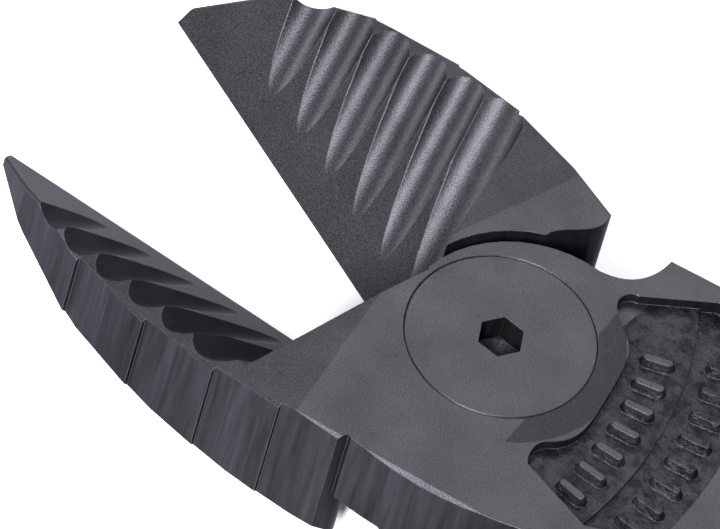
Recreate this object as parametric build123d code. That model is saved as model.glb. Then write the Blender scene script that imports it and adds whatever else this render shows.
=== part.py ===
from build123d import *
import math
import os

# Diagonal cutting nippers with a screwed lap joint and two-part handle grips.
#
# Frame: origin on the pivot axis at the back face, +Z out of the front face,
# +X towards the handles, so the jaws point along -X.  Millimetres.
#
# The rear half has its jaw at +Y, its lap plate at the back and its handle at -Y.
# It is modelled closed, with its cutting edge along Y = 0.  The front half is the
# same forging mirrored, with its lap plate at the front.  At rest each half is then
# turned open about the pivot.

# ---- Joint ----
thickness = 12.0            # both lap plates together
lap_gap = 0.05              # between the two lap plates
rest_half_angle = 13.36     # each half is open this far at rest, in degrees
full_opening = 50.0         # between the halves when a block would meet its stop
edge_gap = 0.03             # from each cutting edge to the closed middle plane

# ---- Jaw ----
tip_reach = 31.48           # pivot axis to the tip of the cutting edge
edge_height = 0.1           # height of the cutting edge's line at the pivot
edge_slope = 0.1225         # the edge's line climbs this much per mm towards the tip
bevel_rise = 0.96           # the bevel face climbs this much per mm from the edge
taper_start = 7.3           # the jaw gets thinner from here to the tip
taper_slope = 0.172         # fall of the front face per mm
back_bevel = 0.85           # fall of the narrow bevel behind the edge, per mm
rim_chamfer = 0.22          # along the front rim of the outer wall
back_chamfer_root = 3.0     # height of the big back chamfer beside the pivot
back_chamfer_tip = 1.2      # and near the tip
tooth_step = 0.25           # the wall steps in by this at each ground facet
tooth_run = 0.06            # length of that step along the wall
heel_overlap = 0.7          # the narrow back bevel runs this far into the hub's circle
back_bevel_reach = 5.0      # more than the width of that bevel
rear_flank = [(-11.5, 9.3), (-6.9, 0.9)]    # the flank wall that ends the bevel face
front_flank = [(-10.97, 9.3), (-7.02, 0.9)]

# Corners of the ground outer wall, from the tip to the end of the block.
rear_wall = [(-31.5, 1.05), (-28.9, 3.95), (-23.7, 8.0), (-18.2, 9.98), (-13.4, 10.85), (-4.2, 10.85)]
front_wall = [(-31.5, 1.05), (-28.9, 3.95), (-23.6, 7.95), (-18.1, 10.15), (-12.9, 11.35), (-8.3, 11.85),
              (-4.4, 11.85)]

# ---- Flutes in the bevel face ----
flute_count = 6
flute_radius = 1.62
last_flute_radius = 2.1     # the one beside the flank wall
flute_pitch = 3.03          # along the cutting edge
flute_depth = 0.85          # at the outer end
first_flute_length = 6.2    # along the bevel, for the flute nearest the tip
flute_growth = 1.15         # each next flute is this much longer
flute_heading = 30.0        # degrees from square to the edge
flute_start = (-24.25, 1.71)  # inner end of the flute nearest the tip
flute_cut_length = 26.0     # length of the round cutter, more than any flute
flute_lead = 1.0            # it starts this far before the flute's inner end

# ---- Lap plate ----
hub_offset = 1.5            # the hub's round end is centred this far from the pivot
hub_radius = 7.6
hub_start_angle = 193.6     # where its round end begins, beside the flank
hub_middle_angle = 235.0    # a point on it, half way round
hub_end_angle = 278.0       # where it runs into the notch
hub_clearance = 0.22        # to the other half's block, fully open
plate_radius = 19.5         # far rim of the lap plate, about the pivot
rim_corner_angle = 20.0     # where that rim turns into the lobe's side
plate_clearance = 0.3       # beyond that rim, to the other half's handle root
stop_peak = (5.65, -10.63)  # the corner that limits the opening
notch_bottom = (4.45, -8.2)  # lowest part of the notch between hub and stop
shoulder_shape = [(-4.67, 6.42), (-4.62, 7.45), (-3.95, 8.9)]  # from the hollow outwards
# The plate's outer side: x, and how far it lies inside the end of the outer wall.
lobe_shape = [(-3.7, 0.35), (-1.8, 0.1), (0.9, -0.05), (3.4, 0.02), (7.4, 0.6)]
side_shape = [(10.7, 1.65), (15.0, 3.1)]
block_overlap = [(-8.0, 8.0), (-7.6, 2.2)]  # inside the block, where the plate joins it

# ---- Handles ----
# The steel's middle line and size: x, y, width in plan, thickness.
steel_stations = [
    (19.0, -6.1, 10.1, thickness),
    (31.0, -8.8, 9.4, 11.0),
    (50.0, -14.2, 7.6, 8.0),
    (80.0, -18.9, 7.0, 7.0),
    (112.0, -18.2, 6.4, 6.4),
    (138.0, -14.4, 5.8, 6.0),
]
root_middle_angle = -22.0   # a point on the root's hollow end, about the pivot
grip_start = 42.0           # x where the hard grip core begins
grip_end = 148.0            # overall end of the tool
grip_lead = 15.0            # the grip's middle line is drawn from this far before it
grip_end_rise = 2.2         # and its end lies this much further in than the steel's
# The grip's outer size along the handle: share of the way, width, thickness.
grip_sections = [
    (0.0, 14.6, 12.6),
    (0.04, 18.6, 14.0),
    (0.09, 17.0, 14.3),
    (0.15, 15.6, 14.5),
    (0.27, 15.9, 14.9),
    (0.42, 16.4, 15.3),
    (0.58, 16.0, 15.0),
    (0.74, 15.0, 14.2),
    (0.87, 14.3, 13.4),
    (0.95, 14.2, 13.0),
    (1.0, 11.4, 10.2),
]
overlay_span = (0.16, 0.84)  # stretch of the grip that the soft overlay covers
overlay_thickness = 1.3

# ---- Pivot screw and nut ----
disc_radius = 5.69
disc_thickness = 2.6
disc_clearance = 0.03
disc_edge = 0.06            # chamfer on the disc and on its seat
shank_radius = 3.8
shank_clearance = 0.05
thread_clearance = 0.02     # the screw's thread in the nut
nut_radius = 5.2
nut_thickness = 3.0
nut_clearance = 0.02
spanner_hole_radius = 0.7
spanner_hole_reach = 4.4
spanner_hole_depth = 1.2
socket_size = 2.5           # hexagon socket, across flats
socket_depth = 2.0
socket_turn = 3.0           # degrees from a corner lying on X
drill_tip_depth = 0.6       # cone left by the drill under the socket
drill_tip_radius = 0.05
spot_radius = 7.45          # shallow ground recess beside the disc
spot_tilt = 2.2             # its floor is tilted this much, in degrees
spot_heading = -5.0         # it is deepest this way, closed front half
spot_offset = 4.2           # it starts this far from the pivot

# ---- Forged panel on the front half's handle root ----
panel_depth = 0.75
band_step = 0.3             # the outer band lies this much deeper
ridge_centre = (-14.8, -1.8)  # of the curved step between the two bands
ridge_radius = 25.75
outer_band_width = 4.0
panel_top = 9.7             # y of the outer band's top corner
panel_bottom = -7.4         # and of its bottom corner
panel_shape = [(5.6, -6.95), (5.32, -6.0), (5.5, -5.2), (6.25, -4.55), (6.95, -3.6), (7.2, -1.2),
               (7.04, 1.5), (6.46, 3.86), (5.4, 4.95), (4.7, 5.7), (4.42, 6.45), (4.62, 7.0), (5.3, 7.35)]
panel_top_corner = (9.36, 9.7)
panel_low_corner = (10.35, -8.8)
pip_height = 0.55           # of the plain raised bars that stand on the panel
pip_width = 1.0
pip_length = 2.3
pip_draft = 24.0            # slope of their sides, in degrees
inner_pips = 7
outer_pips = 8
pip_pitch = 1.85
pip_root = 0.1              # the bars reach this far into the floor
inner_row_inset = 1.85      # from the ridge to the middle of the inner row
outer_row_offset = 1.95     # and to the middle of the outer row
inner_row_shift = -0.6      # along the row
outer_row_shift = 0.3
rows_turn = 2.6             # both rows are turned this far about the ridge's centre

big = 400.0                 # larger than the whole tool, for half spaces
beyond_tip = -60.0          # x past the tip, for cutters
overshoot = 1.0             # cutters run this far past the face they open


def half_space(origin, normal):
    """Everything on the normal's side of a plane."""
    return Plane(origin=origin, z_dir=normal) * Pos(0, 0, big / 2) * Box(big, big, big)


def polar(radius, degrees, centre=(0.0, 0.0)):
    turn = math.radians(degrees)
    return (centre[0] + radius * math.cos(turn), centre[1] + radius * math.sin(turn))


def area(*pieces):
    """One flat face from lines and curves that join end to end."""
    return make_face([edge for piece in pieces for edge in piece.edges()])


def prism(face, low, high):
    return Pos(0, 0, low) * extrude(face, high - low, dir=(0, 0, 1))


def edge_z(x):
    return edge_height - edge_slope * x


def wall_normal(first, second):
    run = math.dist(first, second)
    return ((first[1] - second[1]) / run, (second[0] - first[0]) / run)


# ---------------------------------------------------------------- outlines

def hub_gap_point(degrees):
    """A point on the block's hollow, which clears the other half's hub when fully open."""
    centre = polar(hub_offset, full_opening)
    radius = hub_radius + hub_clearance
    turn = math.radians(degrees)
    along = centre[0] * math.cos(turn) + centre[1] * math.sin(turn)
    across = hub_offset ** 2 - along ** 2
    return polar(along + math.sqrt(radius ** 2 - across), degrees)


def block_face(wall):
    """Plan of the jaw, from the tip round the outer wall and back along the hollow."""
    corners = [(-tip_reach, edge_gap)]
    for index, corner in enumerate(wall[:-1]):
        normal = wall_normal(corner, wall[index + 1])
        corners.append(corner)
        if index > 1:
            corners.append((corner[0] - normal[0] * tooth_step + tooth_run,
                            corner[1] - normal[1] * tooth_step))
    corners.append(wall[-1])
    gap_end = math.degrees(math.atan2(shoulder_shape[0][1], shoulder_shape[0][0]))
    heel_angle = 180.0 - math.degrees(edge_gap / hub_radius)
    shoulder_inner = hub_gap_point(gap_end)
    heel = hub_gap_point(heel_angle)
    return area(
        Polyline(*corners),
        Spline(corners[-1], shoulder_shape[2], shoulder_shape[1], shoulder_inner),
        ThreePointArc(shoulder_inner, hub_gap_point((gap_end + heel_angle) / 2), heel),
        Line(heel, corners[0]),
    )


def handle_edge(index, side):
    """A point on the inner (side 1) or outer (side -1) edge of the handle's steel."""
    before = steel_stations[max(index - 1, 0)]
    after = steel_stations[min(index + 1, len(steel_stations) - 1)]
    x, y, width, _ = steel_stations[index]
    heading = math.atan2(after[1] - before[1], after[0] - before[0]) if index > 0 else 0.0
    return (x - side * math.sin(heading) * width / 2, y + side * math.cos(heading) * width / 2)


def plate_face(wall, flank):
    """Plan of the lap plate: round hub, notch, stop, handle root, far rim and lobe."""
    hub_centre = (hub_offset, 0.0)
    hub_start = polar(hub_radius, hub_start_angle, hub_centre)
    hub_end = polar(hub_radius, hub_end_angle, hub_centre)
    outer = handle_edge(0, -1)
    inner = handle_edge(0, 1)
    rim_end = (math.sqrt(plate_radius ** 2 - inner[1] ** 2), inner[1])
    rim_start = polar(plate_radius, rim_corner_angle)
    side = wall[-1][1]
    lobe = [(x, side - inset) for x, inset in lobe_shape]
    outer_side = [(x, side - inset) for x, inset in side_shape]
    return area(
        ThreePointArc(hub_start, polar(hub_radius, hub_middle_angle, hub_centre), hub_end),
        Spline(hub_end, notch_bottom, stop_peak),
        Polyline(stop_peak, outer, (outer[0] + overshoot, inner[1]), rim_end),
        ThreePointArc(rim_end, polar(plate_radius, rim_corner_angle / 2), rim_start),
        Spline(rim_start, *reversed(outer_side), *reversed(lobe)),
        Polyline(lobe[0], *block_overlap, flank[1], hub_start),
    )


# ---------------------------------------------------------------- cutters

def back_chamfer_height(x, wall):
    share = (x - wall[0][0]) / (wall[-1][0] - wall[0][0])
    return back_chamfer_tip + (back_chamfer_root - back_chamfer_tip) * share


def bevel_z(point):
    return edge_z(point[0]) + bevel_rise * point[1]


def taper_z(point):
    return thickness + taper_slope * (point[0] + taper_start)


def wall_chamfers(wall):
    """Half spaces along the outer wall: the front rim's chamfer and the big back one."""
    cuts = []
    for first, second in zip(wall, wall[1:]):
        normal = wall_normal(first, second)
        wall_side = Vector(normal[0], normal[1], 0)
        bevel = Vector(edge_slope, -bevel_rise, 1).normalized()
        taper = Vector(-taper_slope, 0, 1).normalized()
        faces = []
        if bevel_z(first) < taper_z(first):
            faces.append((bevel, bevel_z(first)))
        if bevel_z(second) > taper_z(second):
            faces.append((taper, taper_z(first)))
        if second[0] > -taper_start:
            faces.append((Vector(0, 0, 1), thickness))
        for face, top in faces:
            cuts.append(half_space((first[0], first[1], top - rim_chamfer), wall_side + face))
        back_z = max(0.0, -edge_slope * (first[0] + taper_start))
        low = (first[0], first[1], back_z + back_chamfer_height(first[0], wall))
        cuts.append(half_space(low, (normal[0], normal[1], -1)))
    return cuts


def bevel_cutter(flank):
    """The space above the bevel face, ended by the flank wall."""
    outer, inner = flank
    lean = (outer[0] - inner[0]) / (outer[1] - inner[1])
    low_y = hub_radius * math.sin(math.radians(hub_start_angle))
    high_y = 2 * outer[1]
    low = (inner[0] + lean * (low_y - inner[1]), low_y)
    high = (inner[0] + lean * (high_y - inner[1]), high_y)
    region = area(Polyline(low, high, (beyond_tip, high_y), (beyond_tip, low_y), low))
    above = half_space((0, 0, edge_z(0)), (edge_slope, -bevel_rise, 1))
    return prism(region, -thickness, 3 * thickness) & above


def back_bevel_cutter():
    """The space below the narrow bevel behind the cutting edge."""
    heel_x = -hub_radius + heel_overlap
    low = -overshoot
    high = back_bevel_reach
    corners = [(beyond_tip, low), (heel_x, low), (heel_x, high), (beyond_tip, high)]
    region = area(Polyline(*corners, corners[0]))
    below = half_space((0, 0, edge_z(0)), (-edge_slope, -back_bevel, -1))
    return prism(region, -thickness, 3 * thickness) & below


def flutes():
    """Grooves that run across the bevel face and deepen outwards."""
    turn = math.radians(flute_heading)
    climb = edge_slope * math.sin(turn) + bevel_rise * math.cos(turn)
    outward = Vector(-math.sin(turn), math.cos(turn), climb).normalized()
    up = Vector(edge_slope, -bevel_rise, 1).normalized()
    middle = flute_cut_length / 2 - flute_lead
    cutters = []
    for index in range(flute_count):
        x = flute_start[0] + index * flute_pitch
        y = flute_start[1]
        radius = flute_radius if index < flute_count - 1 else last_flute_radius
        tilt = math.atan(flute_depth / (first_flute_length + flute_growth * index))
        axis = outward * math.cos(tilt) - up * math.sin(tilt)
        side = up * math.cos(tilt) + outward * math.sin(tilt)
        start = Vector(x, y, edge_z(x) + bevel_rise * y) + side * radius
        cutter = Pos(0, 0, middle) * Cylinder(radius, flute_cut_length)
        cutters.append(Plane(origin=start, z_dir=axis) * cutter)
    return cutters


# ---------------------------------------------------------------- forgings

def handle_steel():
    """The full-thickness handle root and the tang inside the grip."""
    outer = [handle_edge(index, -1) for index in range(len(steel_stations))]
    inner = [handle_edge(index, 1) for index in range(len(steel_stations))]
    clear_radius = plate_radius + plate_clearance
    outer[0] = (math.sqrt(clear_radius ** 2 - outer[0][1] ** 2), outer[0][1])
    inner[0] = (math.sqrt(clear_radius ** 2 - inner[0][1] ** 2), inner[0][1])
    plan = area(
        Spline(*outer),
        Line(outer[-1], inner[-1]),
        Spline(*reversed(inner)),
        ThreePointArc(inner[0], polar(clear_radius, root_middle_angle), outer[0]),
    )
    top = [(x, (thickness + height) / 2) for x, _, _, height in steel_stations]
    bottom = [(x, (thickness - height) / 2) for x, _, _, height in reversed(steel_stations)]
    start = [(0.0, 0.0), (0.0, thickness)]
    side_view = Plane.XZ * area(Polyline(*start, *top, *bottom, start[0]))
    return prism(plan, 0, thickness) & extrude(side_view, big / 4, both=True)


def forging(wall, flank, plate_low, plate_high):
    """Half a tool, closed: jaw at +Y, handle at -Y, lap plate between two heights."""
    solid = prism(block_face(wall), 0, thickness) + prism(plate_face(wall, flank), plate_low, plate_high)
    solid -= half_space((-taper_start, 0, thickness), (-taper_slope, 0, 1))
    solid -= half_space((-taper_start, 0, 0), (-edge_slope, 0, -1))
    solid -= bevel_cutter(flank)
    solid -= back_bevel_cutter()
    for cut in wall_chamfers(wall):
        solid -= cut
    for cut in flutes():
        solid -= cut
    return solid + handle_steel()


# ---------------------------------------------------------------- pivot

def screw_seat():
    """What the screw's head and shank take out of the front half."""
    mouth = disc_radius + disc_clearance
    floor = thickness - disc_thickness - disc_clearance
    seat = Pos(0, 0, floor + thickness / 2) * Cylinder(mouth, thickness)
    rim = Pos(0, 0, thickness - disc_edge / 2) * Cone(mouth, mouth + disc_edge, disc_edge)
    return seat + rim + Cylinder(shank_radius + shank_clearance, big)


def nut_seat():
    """What the nut and the screw's shank take out of the rear half."""
    return Cylinder(nut_radius + nut_clearance, 2 * nut_thickness) + Cylinder(
        shank_radius + shank_clearance, big)


def pivot_screw():
    head_z = thickness - disc_thickness
    head = Pos(0, 0, head_z + disc_thickness / 2) * Cylinder(disc_radius, disc_thickness)
    head = chamfer(head.edges().group_by(Axis.Z)[-1], disc_edge)
    shank = Pos(0, 0, head_z / 2) * Cylinder(shank_radius - thread_clearance, head_z)
    corner_radius = socket_size / math.sqrt(3)
    hexagon = Rot(0, 0, socket_turn) * RegularPolygon(corner_radius, 6)
    socket_floor = thickness - socket_depth
    socket = Pos(0, 0, socket_floor) * extrude(hexagon, socket_depth + overshoot)
    drill_cone = Cone(drill_tip_radius, socket_size / 2, drill_tip_depth)
    drill_tip = Pos(0, 0, socket_floor - drill_tip_depth / 2) * drill_cone
    return head + shank - socket - drill_tip


def pivot_nut():
    nut = Pos(0, 0, nut_thickness / 2) * Cylinder(nut_radius, nut_thickness)
    nut = chamfer(nut.edges().group_by(Axis.Z)[0], disc_edge)
    nut -= Cylinder(shank_radius, big)
    for side in (-1, 1):
        nut -= Pos(side * spanner_hole_reach, 0, 0) * Cylinder(spanner_hole_radius, 2 * spanner_hole_depth)
    return nut


# ---------------------------------------------------------------- front details

def band_corners(radius):
    """Where an arc round the ridge's centre meets the panel's top and bottom."""
    top_x = ridge_centre[0] + math.sqrt(radius ** 2 - (panel_top - ridge_centre[1]) ** 2)
    low_x = ridge_centre[0] + math.sqrt(radius ** 2 - (panel_bottom - ridge_centre[1]) ** 2)
    return (top_x, panel_top), (low_x, panel_bottom)


def panel_cutter():
    """The sunk panel, with its outer band deeper than its inner one."""
    outer_radius = ridge_radius + outer_band_width
    outer_top, outer_low = band_corners(outer_radius)
    whole = area(
        Spline(*panel_shape),
        Polyline(panel_shape[-1], panel_top_corner, outer_top),
        ThreePointArc(outer_top, polar(outer_radius, 0, ridge_centre), outer_low),
        Polyline(outer_low, panel_low_corner, panel_shape[0]),
    )
    floor = thickness - panel_depth
    deep = prism(whole, floor - band_step, thickness + overshoot)
    inside = Pos(*ridge_centre, floor - thickness / 2) * Cylinder(ridge_radius, thickness)
    return deep - inside


def pips():
    """Plain raised bars in two rows, square to the rows."""
    bars = []
    floor = thickness - panel_depth
    inner_radius = ridge_radius - inner_row_inset
    outer_radius = ridge_radius + outer_row_offset
    rows = (
        (inner_pips, inner_radius, floor, inner_row_shift),
        (outer_pips, outer_radius, floor - band_step, outer_row_shift),
    )
    for count, radius, base, shift in rows:
        for index in range(count):
            along = (index - (count - 1) / 2) * pip_pitch + shift
            turn = math.degrees(along / radius) + rows_turn
            bar = extrude(SlotOverall(pip_length, pip_width), pip_height + pip_root, taper=pip_draft)
            bars.append(Pos(*ridge_centre, base - pip_root) * Rot(0, 0, turn) * Pos(radius, 0, 0) * bar)
    return bars


def spot_face():
    """The shallow tilted recess that leaves a crescent beside the screw's head."""
    tilt = math.radians(spot_tilt)
    heading = math.radians(spot_heading)
    normal = (math.sin(tilt) * math.cos(heading), math.sin(tilt) * math.sin(heading), math.cos(tilt))
    start = polar(spot_offset, spot_heading)
    disc = Pos(0, 0, thickness) * Cylinder(spot_radius, 2 * overshoot)
    return half_space((*start, thickness), normal) & disc


def front_half():
    solid = mirror(forging(front_wall, front_flank, (thickness + lap_gap) / 2, thickness), Plane.XZ)
    solid -= panel_cutter()
    for bar in pips():
        solid += bar
    return solid - spot_face() - screw_seat()


def rear_half():
    return forging(rear_wall, rear_flank, 0, (thickness - lap_gap) / 2) - nut_seat()


# ---------------------------------------------------------------- grips

def grip_line():
    """The handle's middle line under the grip."""
    points = [(x, y, thickness / 2) for x, y, _, _ in steel_stations if x > grip_start - grip_lead]
    return Spline(*points, (grip_end, points[-1][1] + grip_end_rise, thickness / 2))


def grip_plane(share):
    """A plane square to the grip, a share of the way from its start to its end."""
    line = grip_line()
    start = (grip_start - steel_stations[1][0]) / (grip_end - steel_stations[1][0])
    along = start + (1 - start) * share
    return Plane(origin=line @ along, x_dir=(0, 0, 1), z_dir=line % along)


def grip_body(inset):
    """The grip's outer shape, made smaller all round by an inset."""
    sections = []
    for share, width, height in grip_sections:
        sections.append(grip_plane(share) * Ellipse(height / 2 - inset, width / 2 - inset))
    return loft(sections)


def grip_pieces(steel):
    """The hard core and the soft overlay of one grip, on a canonical rear handle."""
    outside = grip_body(0)
    first = grip_plane(overlay_span[0])
    last = grip_plane(overlay_span[1])
    stretch = outside & half_space(first.origin, first.z_dir) & half_space(last.origin, -last.z_dir)
    overlay = stretch - grip_body(overlay_thickness)
    return outside - overlay - steel, overlay


# ---------------------------------------------------------------- files

if __name__ == "__main__":
    os.makedirs("parts", exist_ok=True)
    turned_back = Rot(0, 0, -rest_half_angle)
    turned_on = Rot(0, 0, rest_half_angle)
    core, overlay = grip_pieces(handle_steel())
    pieces = {
        "rear_half": turned_back * rear_half(),
        "front_half": turned_on * front_half(),
        "pivot_screw": pivot_screw(),
        "pivot_nut": turned_back * pivot_nut(),
        "rear_grip_core": turned_back * core,
        "rear_grip_overlay": turned_back * overlay,
        "front_grip_core": turned_on * mirror(core, Plane.XZ),
        "front_grip_overlay": turned_on * mirror(overlay, Plane.XZ),
    }
    for name, solid in pieces.items():
        export_step(solid, os.path.join("parts", name + ".step"))
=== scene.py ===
import math

import bmesh
import bpy
from mathutils import Matrix, Vector


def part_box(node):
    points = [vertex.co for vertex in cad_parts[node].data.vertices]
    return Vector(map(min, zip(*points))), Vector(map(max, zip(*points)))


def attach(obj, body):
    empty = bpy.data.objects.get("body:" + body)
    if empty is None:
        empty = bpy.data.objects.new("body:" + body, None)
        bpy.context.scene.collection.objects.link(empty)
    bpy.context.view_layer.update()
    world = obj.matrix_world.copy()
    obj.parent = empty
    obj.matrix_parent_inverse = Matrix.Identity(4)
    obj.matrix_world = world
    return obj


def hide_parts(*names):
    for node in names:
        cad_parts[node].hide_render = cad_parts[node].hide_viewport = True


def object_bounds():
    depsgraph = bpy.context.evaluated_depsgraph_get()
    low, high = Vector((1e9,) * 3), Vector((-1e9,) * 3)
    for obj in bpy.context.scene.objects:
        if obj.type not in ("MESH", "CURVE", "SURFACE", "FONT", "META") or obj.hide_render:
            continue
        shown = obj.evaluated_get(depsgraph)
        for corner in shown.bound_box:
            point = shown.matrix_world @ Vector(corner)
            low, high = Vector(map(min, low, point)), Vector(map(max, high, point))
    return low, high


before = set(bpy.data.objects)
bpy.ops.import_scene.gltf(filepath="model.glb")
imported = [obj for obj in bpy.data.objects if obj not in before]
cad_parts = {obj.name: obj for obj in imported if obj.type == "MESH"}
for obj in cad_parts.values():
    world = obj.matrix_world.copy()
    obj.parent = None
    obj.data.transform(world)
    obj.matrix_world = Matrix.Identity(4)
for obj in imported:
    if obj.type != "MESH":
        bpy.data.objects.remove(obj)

# The looks of a pair of diagonal cutting nippers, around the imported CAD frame.
# Everything is in metres, in the CAD frame: pivot axis on Z, jaws towards -X.

cad_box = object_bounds()
MM = 0.001

standing_level = cad_box[0][2]
screw_low, screw_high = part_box("pivot_screw")
head_top = screw_high[2]
middle_level = (screw_low[2] + head_top) / 2


# ---------------------------------------------------------------- camera and light

CAMERA_AZIMUTH = 28.64
CAMERA_ELEVATION = 53.37
CAMERA_ROLL = 16.83
LENS = 1200.0
SENSOR = 36.0
FRAME_WIDTH = 41.68 * MM        # width of the view at the pivot
LOOK_AT = Vector((-8.55 * MM, -3.18 * MM, head_top + 0.97 * MM))
NEAR_CLIP = 0.01

LIGHT_DISTANCE = 0.6
# Each softbox: the way it lies from the head, its size and its power.  The key is behind and
# above, the narrow one lights the flutes from near the camera, and the low one the jaw's tip.
SOFTBOXES = {
    "key_softbox": ((-0.28, 0.56, 0.78), (0.30, 0.25), 1.7),
    "groove_softbox": ((0.24, -0.70, 0.67), (0.06, 0.20), 8.0),
    "tip_softbox": ((-0.92, -0.25, 0.30), (0.20, 0.20), 2.4),
}
WORLD_COLOUR = (0.95, 0.96, 1.0, 1.0)
WORLD_STRENGTH = 0.82


def view_axes(azimuth, elevation, roll):
    """Right, up and back of the camera, from its angles in degrees."""
    turn = math.radians(azimuth)
    rise = math.radians(elevation)
    lean = math.radians(roll)
    back = Vector((math.sin(turn) * math.cos(rise), -math.cos(turn) * math.cos(rise), math.sin(rise)))
    level = Vector((math.cos(turn), math.sin(turn), 0.0))
    upright = back.cross(level)
    right = level * math.cos(lean) + upright * math.sin(lean)
    up = upright * math.cos(lean) - level * math.sin(lean)
    return right, up, back


def place(obj, location, right, up, back):
    turn = Matrix((right, up, back)).transposed().to_4x4()
    obj.matrix_world = Matrix.Translation(location) @ turn


def make_camera():
    right, up, back = view_axes(CAMERA_AZIMUTH, CAMERA_ELEVATION, CAMERA_ROLL)
    data = bpy.data.cameras.new("camera")
    data.lens = LENS
    data.sensor_width = SENSOR
    distance = FRAME_WIDTH * LENS / SENSOR
    data.clip_start = NEAR_CLIP
    data.clip_end = distance * 4
    camera = bpy.data.objects.new("camera", data)
    bpy.context.scene.collection.objects.link(camera)
    place(camera, LOOK_AT + back * distance, right, up, back)
    bpy.context.scene.camera = camera


def make_softbox(name, direction, size, power):
    """A rectangular softbox that looks at the screw's head from a direction."""
    data = bpy.data.lights.new(name, "AREA")
    data.shape = "RECTANGLE"
    data.size, data.size_y = size
    data.energy = power
    light = bpy.data.objects.new(name, data)
    bpy.context.scene.collection.objects.link(light)
    back = Vector(direction).normalized()
    side = Vector((0.0, 0.0, 1.0)).cross(back).normalized()
    place(light, Vector((0.0, 0.0, head_top)) + back * LIGHT_DISTANCE, side, back.cross(side), back)


def make_world():
    world = bpy.data.worlds.new("studio")
    world.use_nodes = True
    background = world.node_tree.nodes["Background"]
    background.inputs["Color"].default_value = WORLD_COLOUR
    background.inputs["Strength"].default_value = WORLD_STRENGTH
    bpy.context.scene.world = world
    bpy.context.scene.view_settings.view_transform = "Standard"


# ---------------------------------------------------------------- node helpers

class Nodes:
    """Short names for building one material's node tree."""

    def __init__(self, name):
        self.material = bpy.data.materials.new(name)
        self.material.use_nodes = True
        self.tree = self.material.node_tree
        self.shader = self.tree.nodes["Principled BSDF"]

    def new(self, kind, **values):
        node = self.tree.nodes.new(kind)
        for key, value in values.items():
            setattr(node, key, value)
        return node

    def link(self, source, target):
        self.tree.links.new(source, target)

    def set(self, node, **values):
        for key, value in values.items():
            node.inputs[key.replace("_", " ")].default_value = value

    def position(self, scale=(1.0, 1.0, 1.0)):
        coords = self.new("ShaderNodeTexCoord")
        mapping = self.new("ShaderNodeMapping")
        mapping.inputs["Scale"].default_value = scale
        self.link(coords.outputs["Object"], mapping.inputs["Vector"])
        return mapping.outputs["Vector"]

    def noise(self, vector, scale, detail, roughness):
        node = self.new("ShaderNodeTexNoise")
        self.link(vector, node.inputs["Vector"])
        self.set(node, Scale=scale, Detail=detail, Roughness=roughness)
        return node.outputs["Fac"]

    def ramp(self, factor, stops):
        node = self.new("ShaderNodeValToRGB")
        self.link(factor, node.inputs["Fac"])
        elements = node.color_ramp.elements
        while len(elements) < len(stops):
            elements.new(0.5)
        for element, (place_at, colour) in zip(elements, stops):
            if isinstance(colour, float):
                colour = (colour, colour, colour)
            element.position = place_at
            element.color = (*colour, 1.0)
        return node.outputs["Color"]

    def math(self, operation, first, second):
        node = self.new("ShaderNodeMath", operation=operation)
        for socket, value in zip(node.inputs, (first, second)):
            if isinstance(value, (int, float)):
                socket.default_value = value
            else:
                self.link(value, socket)
        return node.outputs["Value"]

    def mix(self, factor, first, second, blend="MIX"):
        node = self.new("ShaderNodeMix", data_type="RGBA", blend_type=blend)
        sockets = (node.inputs[0], node.inputs[6], node.inputs[7])
        for socket, value in zip(sockets, (factor, first, second)):
            if isinstance(value, (int, float)):
                socket.default_value = value
            elif isinstance(value, tuple):
                socket.default_value = (*value, 1.0)
            else:
                self.link(value, socket)
        return node.outputs[2]

    def bump(self, height, strength, distance, normal=None):
        node = self.new("ShaderNodeBump")
        self.link(height, node.inputs["Height"])
        self.set(node, Strength=strength, Distance=distance)
        if normal is not None:
            self.link(normal, node.inputs["Normal"])
        return node.outputs["Normal"]


# ---------------------------------------------------------------- materials

# Steel.  Scales are in features per metre.
FACE_DARK = (0.017, 0.017, 0.0195)
FACE_LIGHT = (0.050, 0.050, 0.057)
# Walls: grinding streaks, plus painted shade that makes them darker than the faces.
SHADED_WALL_DARK = (0.011, 0.011, 0.013)
SHADED_WALL_LIGHT = (0.042, 0.042, 0.049)
# Lighter edges: wear, plus a painted highlight where edges catch the light.
EDGE_WEAR_AND_HIGHLIGHT = (0.11, 0.11, 0.12)
EDGE_TINT = (0.35, 0.35, 0.38, 1.0)     # the steel's reflection at grazing angles
STEEL_METALLIC = 0.8
STEEL_SPECULAR = 0.25
GRAIN_SCALE = 12000.0
PATCH_SCALE = 260.0
STREAK_SCALE = 2400.0
WIDE_STREAK_SCALE = 420.0
STREAK_STRETCH = 0.06                   # along Z, so the streaks run up the walls
GRAIN_HEIGHT = 0.03 * MM
EDGE_ROUND = 0.09 * MM                  # how far an edge is softened in shading

# The forged half's spot face and sunk panel.
SPOT_PAINTED_SHADE = (0.56, 0.56, 0.56)         # painted shade: the spot face's colour is multiplied by this
SPOT_RADIUS = 7.6 * MM
SPOT_DEPTH = 0.4 * MM                   # more than its deepest place
SPOT_CLEAR = 0.004 * MM                 # less than this below the top is not spot face
LEVEL_ENOUGH = 0.95                     # its normal's share of Z
PANEL_DEPTH = 0.45 * MM                 # the panel lies further below the top than this
PANEL_START = 4.0 * MM                  # and further from the jaws
PIT_SCALE = 1300.0
PIT_HEIGHT = 0.26 * MM
PIT_PAINTED_SHADE = 0.45                        # painted shade: the pits' colour is multiplied by this

# Grips.
PLASTIC_DARK = (0.005, 0.005, 0.006)
PLASTIC_LIGHT = (0.014, 0.014, 0.016)
PLASTIC_GRAIN_SCALE = 2600.0
PLASTIC_GRAIN_HEIGHT = 0.08 * MM
SCUFF_SCALE = 140.0
SEAM_WIDTH = 0.35 * MM
SEAM_HEIGHT = 0.15 * MM
RUBBER_DARK = (0.010, 0.022, 0.046)
RUBBER_LIGHT = (0.020, 0.038, 0.070)
RUBBER_GRAIN_SCALE = 1800.0
RUBBER_GRAIN_HEIGHT = 0.15 * MM
HANDLING_SCALE = 95.0

FLOOR_COLOUR = (0.93, 0.93, 0.93, 1.0)
FLOOR_ROUGHNESS = 0.6


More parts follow.
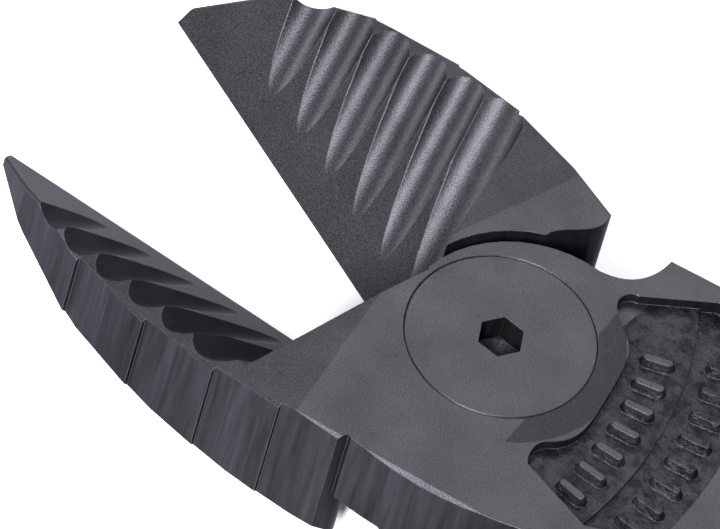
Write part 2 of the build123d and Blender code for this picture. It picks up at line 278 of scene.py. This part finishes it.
def band(n, value, low, high):
    """1 where a value lies between two limits, else 0."""
    above = n.math("GREATER_THAN", value, low)
    below = n.math("LESS_THAN", value, high)
    return n.math("MULTIPLY", above, below)


def split_xyz(n, vector):
    node = n.new("ShaderNodeSeparateXYZ")
    n.link(vector, node.inputs["Vector"])
    return node.outputs["X"], node.outputs["Y"], node.outputs["Z"]


def edge_mask(n, soft_normal, hard_normal):
    """1 along sharp edges, where the softened normal leaves the true one."""
    dot = n.new("ShaderNodeVectorMath", operation="DOT_PRODUCT")
    n.link(soft_normal, dot.inputs[0])
    n.link(hard_normal, dot.inputs[1])
    bend = n.math("SUBTRACT", 1.0, dot.outputs["Value"])
    return n.ramp(bend, ((0.02, 0.0), (0.16, 1.0)))


def blend_of(n, first, second, share):
    """Two values added, the first with the given share."""
    return n.math("ADD", n.math("MULTIPLY", first, share), n.math("MULTIPLY", second, 1.0 - share))


def painted_spot_shade_mask(n, x, y, z, upright):
    """1 on the shallow ground recess beside the screw's head, where shade is painted."""
    from_axis = n.math("ADD", n.math("MULTIPLY", x, x), n.math("MULTIPLY", y, y))
    near_axis = n.math("LESS_THAN", from_axis, SPOT_RADIUS ** 2)
    in_depth = band(n, z, head_top - SPOT_CLEAR - SPOT_DEPTH, head_top - SPOT_CLEAR)
    level = n.math("GREATER_THAN", upright, LEVEL_ENOUGH)
    return n.math("MULTIPLY", n.math("MULTIPLY", level, in_depth), near_axis)


def panel_mask(n, x, z, is_face):
    """1 on the upward faces of the sunk forged panel."""
    behind = n.math("GREATER_THAN", x, PANEL_START)
    sunk = n.math("MULTIPLY", behind, n.math("LESS_THAN", z, head_top - PANEL_DEPTH))
    return n.math("MULTIPLY", sunk, is_face)


def phosphated_steel(name, forged):
    """Fine matt grain on the blasted faces, vertical grinding streaks and painted shade on the walls,
    worn edges with a painted highlight.
    """
    n = Nodes(name)
    where = n.position()
    grain = n.noise(where, GRAIN_SCALE, 2.0, 0.6)
    patches = n.noise(where, PATCH_SCALE, 3.0, 0.5)
    face = n.ramp(blend_of(n, grain, patches, 0.75), ((0.34, FACE_DARK), (0.66, FACE_LIGHT)))

    streak_place = n.position((1.0, 1.0, STREAK_STRETCH))
    streaks = n.noise(streak_place, STREAK_SCALE, 4.0, 0.6)
    wide_streaks = n.noise(streak_place, WIDE_STREAK_SCALE, 3.0, 0.5)
    streak_tone = blend_of(n, streaks, wide_streaks, 0.55)
    shaded_wall = n.ramp(streak_tone, ((0.32, SHADED_WALL_DARK), (0.68, SHADED_WALL_LIGHT)))

    geometry = n.new("ShaderNodeNewGeometry")
    true_normal = geometry.outputs["True Normal"]
    upright = n.math("ABSOLUTE", split_xyz(n, true_normal)[2], 0.0)
    is_face = n.ramp(upright, ((0.12, 0.0), (0.3, 1.0)))
    # Walls take the darker colour with painted shade, faces the lighter one.
    colour = n.mix(is_face, shaded_wall, face)
    relief = n.mix(is_face, n.math("MULTIPLY", streak_tone, 0.8), grain)

    rounded = n.new("ShaderNodeBevel", samples=4)
    n.set(rounded, Radius=EDGE_ROUND)
    soft_normal = rounded.outputs["Normal"]
    normal = n.bump(relief, 0.5, GRAIN_HEIGHT, soft_normal)
    if forged:
        x, y, z = split_xyz(n, where)
        # Painted shade darkens the spot face's shallow recess.
        colour = n.mix(painted_spot_shade_mask(n, x, y, z, upright), colour, SPOT_PAINTED_SHADE, "MULTIPLY")
        in_panel = panel_mask(n, x, z, is_face)
        pitting = n.noise(where, PIT_SCALE, 5.0, 0.62)
        normal = n.bump(n.math("MULTIPLY", pitting, in_panel), 0.9, PIT_HEIGHT, normal)
        # Painted shade darkens the low places of the pitting.
        pit_painted_shade = n.ramp(pitting, ((0.38, PIT_PAINTED_SHADE), (0.58, 1.0)))
        colour = n.mix(in_panel, colour, n.mix(1.0, colour, pit_painted_shade, "MULTIPLY"))
    # Edges are lightened for wear and as a painted highlight, broken up by the grain.
    wear_and_highlight_breakup = n.ramp(grain, ((0.35, 0.25), (0.6, 0.9)))
    edge_wear_and_highlight = n.math("MULTIPLY", edge_mask(n, soft_normal, true_normal), wear_and_highlight_breakup)
    n.link(n.mix(edge_wear_and_highlight, colour, EDGE_WEAR_AND_HIGHLIGHT), n.shader.inputs["Base Color"])
    n.set(n.shader, Metallic=STEEL_METALLIC, Specular_IOR_Level=STEEL_SPECULAR, Specular_Tint=EDGE_TINT)
    n.link(n.ramp(grain, ((0.3, 0.34), (0.7, 0.44))), n.shader.inputs["Roughness"])
    n.link(normal, n.shader.inputs["Normal"])
    return n.material


def grip_plastic():
    """Hard moulded plastic with a fine grain, scuffs and the mould's parting line."""
    n = Nodes("grip_plastic")
    where = n.position()
    grain = n.noise(where, PLASTIC_GRAIN_SCALE, 2.0, 0.5)
    scuffs = n.noise(where, SCUFF_SCALE, 4.0, 0.6)
    n.link(n.ramp(scuffs, ((0.35, PLASTIC_DARK), (0.75, PLASTIC_LIGHT))), n.shader.inputs["Base Color"])
    n.link(n.ramp(grain, ((0.3, 0.38), (0.7, 0.55))), n.shader.inputs["Roughness"])
    from_seam = n.math("ABSOLUTE", n.math("SUBTRACT", split_xyz(n, where)[2], middle_level), 0.0)
    seam = n.ramp(n.math("DIVIDE", from_seam, SEAM_WIDTH), ((0.0, 1.0), (1.0, 0.0)))
    normal = n.bump(grain, 0.3, PLASTIC_GRAIN_HEIGHT)
    n.link(n.bump(seam, 0.6, SEAM_HEIGHT, normal), n.shader.inputs["Normal"])
    return n.material


def grip_rubber():
    """Soft matt overlay: fine grain, and patches that handling has polished."""
    n = Nodes("grip_rubber")
    where = n.position()
    grain = n.noise(where, RUBBER_GRAIN_SCALE, 3.0, 0.5)
    handling = n.noise(where, HANDLING_SCALE, 4.0, 0.6)
    n.link(n.ramp(handling, ((0.32, RUBBER_DARK), (0.72, RUBBER_LIGHT))), n.shader.inputs["Base Color"])
    gloss = blend_of(n, grain, handling, 0.4)
    n.link(n.ramp(gloss, ((0.35, 0.55), (0.65, 0.78))), n.shader.inputs["Roughness"])
    n.set(n.shader, Sheen_Weight=0.05, Specular_IOR_Level=0.3)
    n.link(n.bump(grain, 0.35, RUBBER_GRAIN_HEIGHT), n.shader.inputs["Normal"])
    return n.material


def pale_floor():
    n = Nodes("pale_floor")
    n.set(n.shader, Base_Color=FLOOR_COLOUR, Roughness=FLOOR_ROUGHNESS)
    return n.material


def paint(node, material):
    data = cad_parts[node].data
    data.materials.clear()
    data.materials.append(material)


# ---------------------------------------------------------------- soft overlays

VOXEL = 0.45 * MM
RIB_PITCH = 4.2 * MM
RIB_DEPTH = 0.55 * MM
RIB_END_FADE = 7.0 * MM         # the ribs fade out over this much at each end
EDGE_ROLL = 0.35 * MM           # the overlay's rim is rolled in by this
EDGE_ROLL_WIDTH = 2.0 * MM      # over this much of its length
SLICE = 2.0 * MM                # step along X at which the overlay's middle is found
OUTWARD_ENOUGH = 0.3            # how nearly a normal points away from the middle, on the outside


def remeshed_copy(node, name):
    """A new mesh over a CAD node's shape, with even faces."""
    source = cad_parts[node]
    copy = bpy.data.objects.new(name, source.data.copy())
    bpy.context.scene.collection.objects.link(copy)
    remesh = copy.modifiers.new("remesh", "REMESH")
    remesh.mode = "VOXEL"
    remesh.voxel_size = VOXEL
    graph = bpy.context.evaluated_depsgraph_get()
    graph.update()
    mesh = bpy.data.meshes.new_from_object(copy.evaluated_get(graph))
    copy.modifiers.clear()
    copy.data = mesh
    return copy


def centre_line(mesh):
    """Middle of the overlay in each slice along X."""
    slices = {}
    for vertex in mesh.vertices:
        slices.setdefault(round(vertex.co.x / SLICE), []).append(vertex.co)
    middles = []
    for key in sorted(slices):
        ys = [point.y for point in slices[key]]
        middles.append((key * SLICE, (min(ys) + max(ys)) / 2))
    return middles


def middle_y(middles, x):
    for (x0, y0), (x1, y1) in zip(middles, middles[1:]):
        if x <= x1:
            return y0 + (y1 - y0) * (x - x0) / (x1 - x0)
    return middles[-1][1]


def carved_depth(x, from_end, outward):
    """How far the outside is pressed in: ribs on the gripping sides, and a rolled rim."""
    fade = min(1.0, max(0.0, (from_end - RIB_END_FADE / 2) / RIB_END_FADE))
    side = min(1.0, max(0.0, 1.35 - abs(outward.z) * 1.6))
    wave = 0.5 - 0.5 * math.cos(2 * math.pi * x / RIB_PITCH)
    rim = max(0.0, 1.0 - from_end / EDGE_ROLL_WIDTH) ** 2
    return RIB_DEPTH * wave ** 2 * fade * side + EDGE_ROLL * rim


def carve(mesh):
    """Press the ribs and the rims into the outside, and leave the inside alone."""
    middles = centre_line(mesh)
    first_x = min(vertex.co.x for vertex in mesh.vertices)
    last_x = max(vertex.co.x for vertex in mesh.vertices)
    moves = []
    for vertex in mesh.vertices:
        x, y, z = vertex.co
        outward = Vector((0.0, y - middle_y(middles, x), z - middle_level)).normalized()
        if vertex.normal.dot(outward) < OUTWARD_ENOUGH:
            continue
        from_end = min(x - first_x, last_x - x)
        moves.append((vertex.index, vertex.normal * -carved_depth(x, from_end, outward)))
    for index, move in moves:
        mesh.vertices[index].co += move


def ribbed_overlay(node, name, body):
    """The soft overlay that stands for a CAD node."""
    piece = remeshed_copy(node, name)
    carve(piece.data)
    smooth = piece.modifiers.new("smooth", "SMOOTH")
    smooth.factor = 0.4
    smooth.iterations = 2
    for polygon in piece.data.polygons:
        polygon.use_smooth = True
    piece.data.materials.clear()
    piece.data.materials.append(rubber)
    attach(piece, body)
    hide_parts(node)


# ---------------------------------------------------------------- floor

FLOOR_SIZE = 3.0


def make_floor():
    mesh = bpy.data.meshes.new("floor")
    shape = bmesh.new()
    bmesh.ops.create_grid(shape, x_segments=1, y_segments=1, size=FLOOR_SIZE)
    shape.to_mesh(mesh)
    shape.free()
    floor = bpy.data.objects.new("floor", mesh)
    bpy.context.scene.collection.objects.link(floor)
    floor.location = (0.0, 0.0, standing_level)
    mesh.materials.append(pale_floor())


# ---------------------------------------------------------------- the scene

make_camera()
for name, (direction, size, power) in SOFTBOXES.items():
    make_softbox(name, direction, size, power)
make_world()
make_floor()

forged = phosphated_steel("forged_steel", True)
screw = phosphated_steel("screw_steel", False)
plastic = grip_plastic()
rubber = grip_rubber()
for node in ("front_half", "rear_half"):
    paint(node, forged)
for node in ("pivot_screw", "pivot_nut"):
    paint(node, screw)
for half in ("front", "rear"):
    paint(half + "_grip_core", plastic)
    ribbed_overlay(half + "_grip_overlay", half + "_soft_overlay", half + "_lever")
